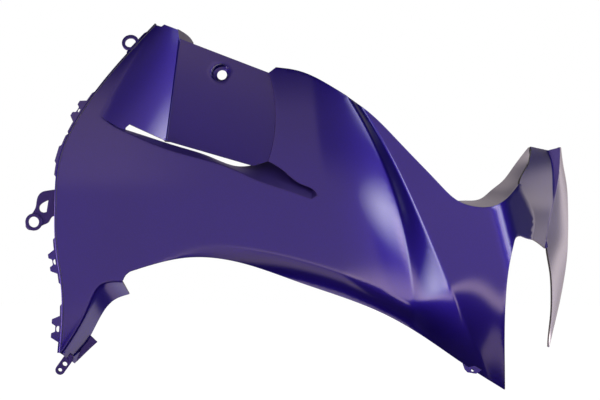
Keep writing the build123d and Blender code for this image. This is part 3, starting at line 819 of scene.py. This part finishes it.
# Edges that the sheets share
nose_free_z = spaced(NOSE_Z[0], NOSE_CORNER[1], count=26)
nose_crease_z = spaced(NOSE_CORNER[1], WINDOW_FRONT[1], count=36)
crease_edge = [(nose_crease_x(z), z) for z in nose_crease_z]
rear_edge = smooth([REAR_TOP, *REAR_EDGE, REAR_LOW])
top_edge = smooth([BULGE_TOP, *TOP_EDGE, *NECK_EDGE, crease_edge[0]])
window_edge = smooth([crease_edge[-1], *WINDOW_TOP, WINDOW_REAR], step=FINE_STEP)
front_edge = smooth([WINDOW_REAR, *FRONT_EDGE, FRONT_TIP])
arch_edge = smooth([FRONT_TIP, *ARCH_EDGE, ARCH_REAR])
heel_edge = bent(ARCH_REAR, HEEL_BEND, LEG_TOP)
leg_edge = smooth([LEG_TOP, *LEG_EDGE, REAR_LOW])
fold_edge = [(vent_lines(z)[0], z) for z in spaced(FOLD_Z[0], FOLD_Z[-1], count=50)]
lip_edge = smooth([fold_edge[-1], *LIP, LIP_END], step=LIP_STEP)
pocket_edge = straight(LIP_END, POCKET_END, step=FINE_STEP)
vent_edge = [(vent_lines(z)[2], z) for z in spaced(VENT_EDGE_Z[-1], VENT_EDGE_Z[0], count=44)]
bulge_low_edge = smooth([POCKET_END, *BULGE_LOW, vent_edge[0]], step=LIP_STEP)
vent_top_edge = straight(*VENT_NOTCH, VENT_TOP_FRONT)


def skin_sheet():
    """Outer face round the vent, with extra lines where it bends sharply."""
    outline = joined(
        rear_edge[::-1], [REAR_TOP, fold_edge[0]], fold_edge, lip_edge, pocket_edge, bulge_low_edge,
        vent_edge, straight(VENT_TOP_FRONT, BULGE_TOP), top_edge, crease_edge, window_edge, front_edge,
        arch_edge, heel_edge, leg_edge,
    )
    heights = spaced(min(ARCH_Z), BULGE_TOP[1], count=115)
    folds = []
    for values in (CREST_X, FOOT_X):
        for shift in spaced(-LINE_R, LINE_R, count=5):
            folds.append(within([(body_line(values, z) + shift, z) for z in heights], outline))
    return sheet(outline, skin, folds=folds)


def vent_sheet(mouth):
    """Facet, valley and floor of the vent, with the mouth of the bolt cup left open."""
    under = [(x + EDGE_R, z) for x, z in vent_edge]
    outline = joined(
        fold_edge,
        straight(fold_edge[-1], SLOT_END[0]),
        straight(*SLOT_END, step=TIGHT_STEP),
        straight(SLOT_END[-1], *FLOOR_EDGE, under[0]),
        under,
        straight(under[-1], VENT_TOP_FRONT),
        vent_top_edge[::-1],
        straight(VENT_NOTCH[0], fold_edge[0]),
    )
    heights = spaced(FLOOR_EDGE[0][1], VENT_NOTCH[-1][1], count=50)
    folds = []
    for shift in spaced(-VALLEY_STEP_RUN / 4, VALLEY_STEP_RUN * 5 / 4, count=7):
        folds.append(within([(vent_lines(z)[1] + shift, z) for z in heights], outline))
    return sheet(outline, recess, holes=[mouth], folds=folds)


def cup_rows(count=48):
    """Rows of points from the mouth of the bolt cup down to the edge of its hole."""
    axis = out_of(vent_floor, 0, 0)
    side = axis.orthogonal().normalized()
    other = axis.cross(side)
    spokes = [side * u + other * v for u, v in circle(0, 0, 1, count)]
    deep = Vector((0, vent_floor(0, 0), 0)).dot(axis)
    mouth = []
    for spoke in spokes:
        rim = axis * deep + spoke * (BOLT_CUP_R + EDGE_R)
        mouth.append(lifted(vent_floor, (rim.x, rim.z)))
    profile = [
        (BOLT_CUP_R + 0.4 * EDGE_R, deep - 0.2 * EDGE_R),
        (BOLT_CUP_R + 0.1 * EDGE_R, deep - 0.6 * EDGE_R),
        (BOLT_CUP_R, deep - EDGE_R),
        (BOLT_CUP_R, deep / 2),
        (BOLT_CUP_R, 0.6 * EDGE_R),
        (BOLT_CUP_R - 0.2 * EDGE_R, 0.2 * EDGE_R),
        (BOLT_CUP_R - 0.6 * EDGE_R, 0.0),
        (BOLT_HOLE_R + 0.4 * EDGE_R, 0.0),
        (BOLT_HOLE_R, -0.3 * EDGE_R),
    ]
    return [mouth] + [[axis * height + spoke * radius for spoke in spokes] for radius, height in profile]


def duct_rows():
    """Duct floor that goes inwards and up from the lip of the vent."""
    near = lip_edge + pocket_edge[1:]
    shares = lengths(near) / lengths(near)[-1]
    stations = np.linspace(0, 1, len(DUCT_RISE))
    ways = spline(stations, list(zip(DUCT_LEAN, DUCT_RISE, DUCT_DEPTH)), shares)
    far = []
    for point, (lean, rise, depth) in zip(near, ways):
        far.append(lifted(skin, point, depth) + Vector((lean, 0, rise)))
    return turned_edge(near, skin, far)


def leg_return_rows():
    """Flange that turns inwards along the front edge of the leg."""
    far = []
    for near, (x, z) in zip(leg_edge, smooth(RETURN_FAR, count=len(leg_edge))):
        far.append((x, skin(*near) + RETURN_DEPTH, z))
    return turned_edge(leg_edge, skin, far, radius=RETURN_EDGE_R)


def nose_rows():
    """Wrapped side of the nose from the crease to its step, with the window's edge below."""
    heights = nose_free_z + nose_crease_z[1:]
    top = heights[0]
    window = smooth([(nose_crease_x(heights[-1]), heights[-1]), *WINDOW_NOSE], count=14)
    rows = []
    for height in heights:
        row = []
        for i, (_, low) in enumerate(window):
            z = top + (low - top) * (height - top) / (heights[-1] - top)
            crease = lifted(skin, (nose_crease_x(z), z))
            step = Vector((nose_step_x(z), nose_step_y(z), z))
            row.append(crease.lerp(step, i / (len(window) - 1)))
        rows.append(row)
    return rows


def blade_point(share, z):
    """Point across the crowned blade, from its rear edge to its front edge."""
    rear = Vector((blade_rear_x(z), blade_rear_y(z), z))
    front = Vector((blade_front_x(z), CENTRE_Y, z))
    out = (front - rear).cross(Vector((0, 0, 1))).normalized()
    return rear.lerp(front, share) + out * BLADE_CROWN * 4 * share * (1 - share)


def blade_rows(nose):
    """Step behind the nose, and the blade from the top of the nose down to its point."""
    step_rows = []
    for row in nose:
        rear = blade_point(0, row[-1].z)
        step_rows.append([row[-1].lerp(rear, share) for share in spaced(0, 1, count=4)])
    heights = [row[-1].z for row in nose]
    heights += spaced(heights[-1], BLADE_Z[-1], count=70)[1:]
    return step_rows, [[blade_point(share, z) for share in spaced(0, 1, count=16)] for z in heights]


def sink_top(rows, first, last):
    """Sinks rows at the top edge of the nose, evenly from a first to a last depth along each row."""
    for row in rows:
        for point, depth in zip(row, spaced(first, last, len(row))):
            fade = max(0.0, 1 - (NOSE_Z[0] - point.z) / NOSE_DIP_FADE)
            point.z -= depth * fade * fade


def ledge_rows(count=60):
    """Headlight ledge from the top edge of the neck and nose inwards."""
    ends = []
    for near, (x, z), depth in zip(LEDGE_FRONT, LEDGE_BACK, LEDGE_DEPTH):
        ends.append((x, skin(*near) + depth, z))
    front = [lifted(skin, point, EDGE_R) - Vector((0, 0, SEAM)) for point in smooth(LEDGE_FRONT, count)]
    return ruled(front, [Vector(end) for end in smooth(ends, count)], count=12)


def vent_return_rows():
    """Short lip that rises inwards from the top edge of the vent, beside the valley."""
    start, end = VENT_NOTCH[-1], VENT_TOP_FRONT
    near = []
    far = []
    for x, rise, depth in smooth(VENT_RETURN, count=16):
        z = start[1] + (x - start[0]) / (end[0] - start[0]) * (end[1] - start[1])
        near.append(Vector((x, recess(x, z), z)))
        far.append(near[-1] + Vector((0, depth, rise)))
    return ruled(near, far, count=5)


def flange_rows():
    """Flange set back behind the rear edge of the skin, wider beside the clip tabs."""
    rows = []
    along = lengths(rear_edge) / lengths(rear_edge)[-1]
    for share in spaced(0, 1, count=6):
        row = []
        for (x, z), place in zip(rear_edge, along):
            reach = FLANGE_SLIM
            for tab_place, tab_length, *_ in CLIP_TABS:
                if abs(place - tab_place) * REAR_LENGTH < tab_length / 2 + FLANGE_SHOULDER:
                    reach = FLANGE_REACH
            land = FLANGE_LAND * min(1.0, place * REAR_LENGTH / FLANGE_TOP_RUN)
            row.append(lifted(skin, (x - reach + share * (reach + land), z), FLANGE_SETBACK))
        rows.append(row)
    return rows


def plate(name, loop, depth, wall, holes=(), slot=0):
    """Flat piece with holes that follows a depth and has softened edges."""
    piece = piece_mesh(name, [(*sheet(loop, depth, holes=holes, cell=PLATE_CELL), slot)])
    thicken(piece, wall, PLATE_BEVEL)
    return piece


def flat_on_skin(point, depth, lift):
    """Depth of the plane that leans as the skin does at a point."""
    lean = out_of(skin, *point, nudge=1.0)
    base = depth - lift / lean.y

    def plane(x, z):
        return base - ((x - point[0]) * lean.x + (z - point[1]) * lean.z) / lean.y

    return plane


def tongue_outline():
    """Strap with round ends from the tongue's root to its tip."""
    root = Vector(TONGUE_ROOT)
    tip = Vector(TONGUE_TIP)
    way = (tip - root).normalized()
    start = math.atan2(way.y, way.x)
    radius = TONGUE_W / 2
    loop = []
    for centre, turn in ((tip, start - math.pi / 2), (root, start + math.pi / 2)):
        for angle in spaced(turn, turn + math.pi, count=19):
            loop.append((centre.x + radius * math.cos(angle), centre.y + radius * math.sin(angle)))
    return loop


def size_inputs(tree, *names):
    """Named sizes of a node tree, as sockets of its group input."""
    tree.interface.new_socket(name="Geometry", in_out="OUTPUT", socket_type="NodeSocketGeometry")
    for name in names:
        tree.interface.new_socket(name=name, in_out="INPUT", socket_type="NodeSocketFloat")
    return node(tree, "NodeGroupInput").outputs


def finish_tree(tree, geometry, material):
    """Ends a tree with flat shading, plain geometry and one material."""
    flat = result(tree, "GeometryNodeSetShadeSmooth", {"Geometry": geometry, "Shade Smooth": False})
    real = result(tree, "GeometryNodeRealizeInstances", {"Geometry": flat})
    painted = result(tree, "GeometryNodeSetMaterial", {"Geometry": real, "Material": material})
    node(tree, "NodeGroupOutput", {"Geometry": painted})


def together(tree, *parts):
    join = node(tree, "GeometryNodeJoinGeometry")
    for part in parts:
        feed(tree, join, {"Geometry": part})
    return join.outputs["Geometry"]


def vector(tree, **parts):
    return result(tree, "ShaderNodeCombineXYZ", parts)


def ring(tree, points, radius):
    feeds = {"Resolution": points, "Radius": radius}
    return result(tree, "GeometryNodeCurvePrimitiveCircle", feeds, mode="RADIUS")


def tab_outline(tree, sizes):
    """Tapered outline with rounded corners, its root on the X axis."""
    outline = result(tree, "GeometryNodeCurvePrimitiveQuadrilateral", {
        "Bottom Width": sizes["Length"],
        "Top Width": worked(tree, "MULTIPLY", sizes["Length"], sizes["Taper"]),
        "Height": sizes["Reach"],
        "Offset": 0.0,
    }, mode="TRAPEZOID")
    corners = {"Curve": outline, "Count": 4, "Radius": sizes["Corner"], "Limit Radius": True}
    rounded = result(tree, "GeometryNodeFilletCurve", corners, mode="POLY")
    fine = result(tree, "GeometryNodeSubdivideCurve", {"Curve": rounded, "Cuts": 20})
    lift = vector(tree, Y=worked(tree, "MULTIPLY", sizes["Reach"], 0.5))
    return result(tree, "GeometryNodeTransform", {"Geometry": fine, "Translation": lift})


def tab_notch(tree, sizes, outline):
    """Sinks the middle of the tab's outer edge."""
    position = result(tree, "GeometryNodeInputPosition")
    spot = node(tree, "ShaderNodeSeparateXYZ", {"Vector": position}).outputs
    across = worked(tree, "DIVIDE", worked(tree, "ABSOLUTE", spot["X"]), sizes["Length"])
    outer = worked(tree, "DIVIDE", spot["Y"], sizes["Reach"])
    middle = eased(tree, across, *NOTCH_SIDE, -1.0, 0.0)
    tip = eased(tree, outer, *NOTCH_DEPTH, 0.0, 1.0)
    sink = vector(tree, Y=folded(tree, "MULTIPLY", middle, tip, sizes["Notch"]))
    return result(tree, "GeometryNodeSetPosition", {"Geometry": outline, "Offset": sink})


def tab_hole(tree, sizes):
    """Oval hole, or nothing where its length is nought."""
    oval = ring(tree, points=28, radius=1.0)
    placed = result(tree, "GeometryNodeTransform", {
        "Geometry": oval,
        "Translation": vector(tree, Y=worked(tree, "MULTIPLY", sizes["Reach"], sizes["Hole Reach"])),
        "Scale": vector(tree, X=sizes["Hole Long"], Y=sizes["Hole Wide"], Z=1.0),
    })
    is_there = worked(tree, "GREATER_THAN", sizes["Hole Long"], 0.0)
    return result(tree, "GeometryNodeSwitch", {"Switch": is_there, "True": placed}, input_type="GEOMETRY")


def clip_tab_tree():
    """Tapered tab with a notched outer edge and an oval hole, flat in its own plane."""
    tree = bpy.data.node_groups.new("clip_tab", "GeometryNodeTree")
    sizes = size_inputs(
        tree, "Length", "Reach", "Taper", "Wall", "Hole Long", "Hole Wide", "Hole Reach", "Corner", "Notch",
    )
    outline = tab_notch(tree, sizes, tab_outline(tree, sizes))
    curves = together(tree, outline, tab_hole(tree, sizes))
    filled = result(tree, "GeometryNodeFillCurve", {"Curve": curves}, mode="TRIANGLES")
    wall = {"Mesh": filled, "Offset Scale": sizes["Wall"], "Individual": False}
    thick = result(tree, "GeometryNodeExtrudeMesh", wall, mode="FACES")
    whole = together(tree, thick, result(tree, "GeometryNodeFlipFaces", {"Mesh": filled}))
    welded = result(tree, "GeometryNodeMergeByDistance", {"Geometry": whole, "Distance": TAB_WELD})
    finish_tree(tree, welded, PAINT)
    return tree


def grommet_ring_tree():
    """Flat ring with rounded edges, in its own plane."""
    tree = bpy.data.node_groups.new("grommet_ring", "GeometryNodeTree")
    sizes = size_inputs(tree, "Radius", "Hole Radius", "Wall", "Edge")
    middle = worked(tree, "MULTIPLY", worked(tree, "ADD", sizes["Radius"], sizes["Hole Radius"]), 0.5)
    path = ring(tree, points=72, radius=middle)
    section = result(tree, "GeometryNodeCurvePrimitiveQuadrilateral", {
        "Width": worked(tree, "SUBTRACT", sizes["Radius"], sizes["Hole Radius"]),
        "Height": sizes["Wall"],
    }, mode="RECTANGLE")
    corners = {"Curve": section, "Count": 4, "Radius": sizes["Edge"]}
    rounded = result(tree, "GeometryNodeFilletCurve", corners, mode="POLY")
    swept = result(tree, "GeometryNodeCurveToMesh", {"Curve": path, "Profile Curve": rounded})
    finish_tree(tree, swept, OVERSPRAY_AND_SHADE)
    return tree


def grown(name, tree, sizes, place):
    """Piece made by a node tree, its points in millimetres then put in place by a rule."""
    piece = put(name, bpy.data.meshes.new(name))
    modifier = piece.modifiers.new(name, "NODES")
    modifier.node_group = tree
    for socket in tree.interface.items_tree:
        if socket.in_out == "INPUT":
            modifier[socket.identifier] = sizes[socket.name]
    made_solid(piece)
    bm = bmesh.new()
    bm.from_mesh(piece.data)
    for vert in bm.verts:
        vert.co = place(*vert.co) * MM
    bmesh.ops.recalc_face_normals(bm, faces=bm.faces)
    bm.to_mesh(piece.data)
    bm.free()
    return piece


def tab_place(share):
    """Rule that lays a tab along the rear edge, just inside the flange's own faces."""
    at = share * (len(rear_edge) - 1)
    i = min(int(at), len(rear_edge) - 2)
    start = Vector(rear_edge[i])
    end = Vector(rear_edge[i + 1])
    root = start.lerp(end, at - i)
    along = (end - start).normalized()
    out = Vector((along.y, -along.x))

    def place(u, v, w):
        spot = root + along * u + out * v
        return lifted(skin, spot, FLANGE_SETBACK + TAB_TUCK + w)

    return place


def ring_place(point):
    """Rule that lays a ring flat on the skin, with its wall inwards."""
    out = out_of(skin, *point, nudge=1.0)
    side = out.orthogonal().normalized()
    other = out.cross(side)
    seat = lifted(skin, point)

    def place(u, v, w):
        return seat + side * u + other * v + out * (w - RING_WALL / 2)

    return place


def rear_fixings():
    """Clip tabs, grommet rings and the arm of the lower ring."""
    made = []
    tab_tree = clip_tab_tree()
    for number, (share, length, reach, hole_long, hole_wide) in enumerate(CLIP_TABS, 1):
        sizes = {
            "Length": length, "Reach": reach, "Taper": TAB_TAPER, "Wall": FLANGE_WALL - 2 * TAB_TUCK,
            "Hole Long": hole_long, "Hole Wide": hole_wide, "Hole Reach": TAB_HOLE_REACH,
            "Corner": TAB_CORNER,
            "Notch": TAB_NOTCH * reach if hole_long > 0 and reach > FLANGE_REACH else 0.0,
        }
        made.append(grown(f"clip_tab_{number}", tab_tree, sizes, tab_place(share)))
    ring_tree = grommet_ring_tree()
    ring_sizes = {"Radius": RING_R, "Hole Radius": RING_HOLE_R, "Wall": RING_WALL, "Edge": RING_EDGE}
    for name, point in (("upper_grommet_ring", UPPER_RING), ("lower_grommet_ring", LOWER_RING)):
        made.append(grown(name, ring_tree, ring_sizes, ring_place(point)))
    arm = joined(smooth(RING_ARM, step=FINE_STEP), straight(RING_ARM[-1], ARM_ROOT, RING_ARM[0]))
    gap = joined(smooth(ARM_GAP_EDGE, step=TIGHT_STEP), straight(ARM_GAP_EDGE[-1], ARM_GAP_EDGE[0]))
    holes = [gap, circle(*LOWER_RING, RING_R - EDGE_R)]

    def set_back(x, z):
        return skin(x, z) + ARM_SETBACK

    made.append(plate("ring_arm", arm, set_back, RING_WALL - 2 * TAB_TUCK, holes, DUST_SHADE_SLOT))
    return made


def small_tabs():
    """Tongue under the leg, tab of its return and tab at the lower tip."""
    tongue = flat_on_skin(TONGUE_ROOT, TONGUE_DEPTH, -SEAM)
    tongue_holes = [circle(x, z, radius, count=24) for x, z, radius in TONGUE_HOLES]
    seat = skin(*LOWER_TAB_SEAT) + SEAM
    leg = straight(*LEG_TAB, LEG_TAB[0])[:-1]
    lower = straight(*LOWER_TAB, LOWER_TAB[0])[:-1]
    return [
        plate("leg_tongue", tongue_outline(), tongue, TONGUE_WALL, tongue_holes, DUST_SHADE_SLOT),
        plate("leg_tab", leg, lambda x, z: LEG_TAB_DEPTH, LEG_TAB_WALL, slot=DUST_SHADE_SLOT),
        plate("lower_tab", lower, lambda x, z: seat, LOWER_TAB_WALL, [circle(*LOWER_TAB_HOLE, count=20)]),
    ]


def painted_skin():
    """Skin, vent, duct, returns, nose and blade as one moulding."""
    cup = cup_rows()
    nose = nose_rows()
    step, blade = blade_rows(nose)
    sink_top(nose, 0.0, NOSE_DIP)
    sink_top(step, NOSE_DIP, 0.0)
    sink_top(blade, 0.0, -BLADE_RISE)
    parts = [skin_sheet(), vent_sheet([(p.x, p.z) for p in cup[0]]), strip(cup, closed=True)]
    # The vent's rims and the duct take the dark dusted plastic, as painted shade of these recesses
    for rim in (vent_edge, bulge_low_edge):
        far = [lifted(skin, point, RIM_DEPTH) for point in rim]
        parts.append((*strip(turned_edge(rim, skin, far)), DUST_SHADE_SLOT))
    parts.append((*strip(duct_rows()), DUST_SHADE_SLOT))
    parts += [strip(leg_return_rows()), strip(nose), (*strip(step), DUST_SHADE_SLOT), strip(blade)]
    for free in (top_edge, window_edge, front_edge, arch_edge, heel_edge):
        parts.append(strip(edge_lip(free, skin)))
    parts.append(strip(edge_lip(rear_edge, skin, drop=FLANGE_SETBACK, outward=-1, radius=REAR_EDGE_R)))
    piece = piece_mesh("panel_skin", parts)
    thicken(piece, SKIN_THICK)
    return piece


def ribbon(name, rows, wall, towards):
    """Strip with a wall, its outer side facing one way."""
    piece = piece_mesh(name, [strip(rows)], towards)
    thicken(piece, wall)
    return piece


main_piece = painted_skin()
pieces = [
    main_piece,
    ribbon("headlight_ledge", ledge_rows(), LEDGE_THICK, towards=(-0.4, -0.3, 1)),
    ribbon("vent_return", vent_return_rows(), LEDGE_THICK, towards=(0, -0.4, 1)),
    ribbon("rear_flange", flange_rows(), FLANGE_WALL, towards=(0, -1, 0)),
    *rear_fixings(),
    *small_tabs(),
]
for piece in pieces:
    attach(piece, "root")
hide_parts("fairing_panel")


def lamp(name, place, aim, wide, tall, power):
    """Softbox that fades to its rim: ovals of one strength, one inside the other."""
    ahead = (Vector(aim) - Vector(place)).normalized()
    whole = sum(scale ** 2 for scale in LAMP_RINGS)
    for step, scale in enumerate(LAMP_RINGS):
        data = bpy.data.lights.new(name, "AREA")
        data.shape = "ELLIPSE"
        data.size = wide * scale
        data.size_y = tall * scale
        data.energy = power * scale ** 2 / whole
        holder = put(name, data)
        holder.location = Vector(place) - ahead * LAMP_GAP * step
        holder.rotation_euler = ahead.to_track_quat("-Z", "Y").to_euler()


def by_ray(tree, lit, mirrored, shown):
    """One shader for plain light, one for reflections and one for what the camera sees."""
    rays = node(tree, "ShaderNodeLightPath").outputs
    seen = worked(tree, "MAXIMUM", rays["Is Camera Ray"], rays["Is Transmission Ray"])
    unseen = result(tree, "ShaderNodeMixShader", {0: rays["Is Glossy Ray"], 1: lit, 2: mirrored})
    return result(tree, "ShaderNodeMixShader", {0: seen, 1: unseen, 2: shown})


def studio_floor():
    """White ground, left out of reflections."""
    mesh = bpy.data.meshes.new("studio_floor")
    corners = [(x * FLOOR_HALF, y * FLOOR_HALF, FLOOR_Z) for x, y in ((-1, -1), (1, -1), (1, 1), (-1, 1))]
    mesh.from_pydata(corners, [], [(0, 1, 2, 3)])
    material, tree = new_material("pale_floor")
    tree.nodes.clear()
    glow = result(tree, "ShaderNodeEmission", {"Strength": FLOOR_GLOW})
    shade = result(tree, "ShaderNodeBsdfDiffuse", {"Color": FLOOR_SHOWN})
    shown = result(tree, "ShaderNodeAddShader", {0: glow, 1: shade})
    matte = result(tree, "ShaderNodeBsdfDiffuse", {"Color": FLOOR_LIT})
    clear = result(tree, "ShaderNodeBsdfTransparent")
    node(tree, "ShaderNodeOutputMaterial", {"Surface": by_ray(tree, matte, clear, shown)})
    mesh.materials.append(material)
    ground = put("studio_floor", mesh)


def mirrored_room(tree):
    """Strength and colour of what the paint mirrors, by direction."""
    way = node(tree, "ShaderNodeTexCoord").outputs["Generated"]
    parts = node(tree, "ShaderNodeSeparateXYZ", {"Vector": way}).outputs
    axes = {"across": parts["X"], "deep": parts["Y"], "up": parts["Z"]}
    axes["tilt"] = worked(tree, "MULTIPLY_ADD", axes["across"], TILT, axes["up"])
    axes["lean"] = worked(tree, "MULTIPLY_ADD", axes["up"], LEAN, axes["deep"])
    light = {}
    for name, ramps in ROOM.items():
        light[name] = folded(tree, "MULTIPLY", *[eased(tree, axes[axis], *ramp) for axis, *ramp in ramps])
    shade = folded(tree, "SUBTRACT", worked(tree, "ADD", light["glow"], 1.0), light["corner"], light["dim"])
    wall = worked(tree, "MULTIPLY", shade, light["wall"])
    front = folded(tree, "ADD", wall, light["band"], light["streak"])
    strength = folded(tree, "MAXIMUM", front, *[light[name] for name in BRIGHTEST_OF])
    back = eased(tree, axes["deep"], start=0.0, end=0.4, low=0.0, high=1.0)
    return result(tree, "ShaderNodeBackground", {
        "Color": mixed(tree, back, WARM_FRONT, WARM_BACK), "Strength": strength,
    })


def studio_world():
    """White backdrop for what is seen, the room for what is mirrored, an even fill for the rest."""
    world = bpy.data.worlds.new("studio")
    bpy.context.scene.world = world
    world.use_nodes = True
    tree = world.node_tree
    tree.nodes.clear()
    white = result(tree, "ShaderNodeBackground", {"Color": WHITE})
    fill = result(tree, "ShaderNodeBackground", {"Color": WHITE, "Strength": FILL})
    node(tree, "ShaderNodeOutputWorld", {"Surface": by_ray(tree, fill, mirrored_room(tree), white)})


def studio_camera():
    """Camera at the photograph's angle."""
    data = bpy.data.cameras.new("camera")
    data.sensor_width = SENSOR
    data.sensor_fit = "HORIZONTAL"
    data.lens = SENSOR * -VIEW_AT[1] / VIEW_WIDE
    camera = put("camera", data)
    camera.location = VIEW_AT
    camera.rotation_euler = (math.pi / 2, 0, 0)
    bpy.context.scene.camera = camera
    bpy.context.scene.view_settings.view_transform = "Standard"


studio_floor()
studio_world()
studio_camera()
for softbox in SOFTBOXES:
    lamp(*softbox)
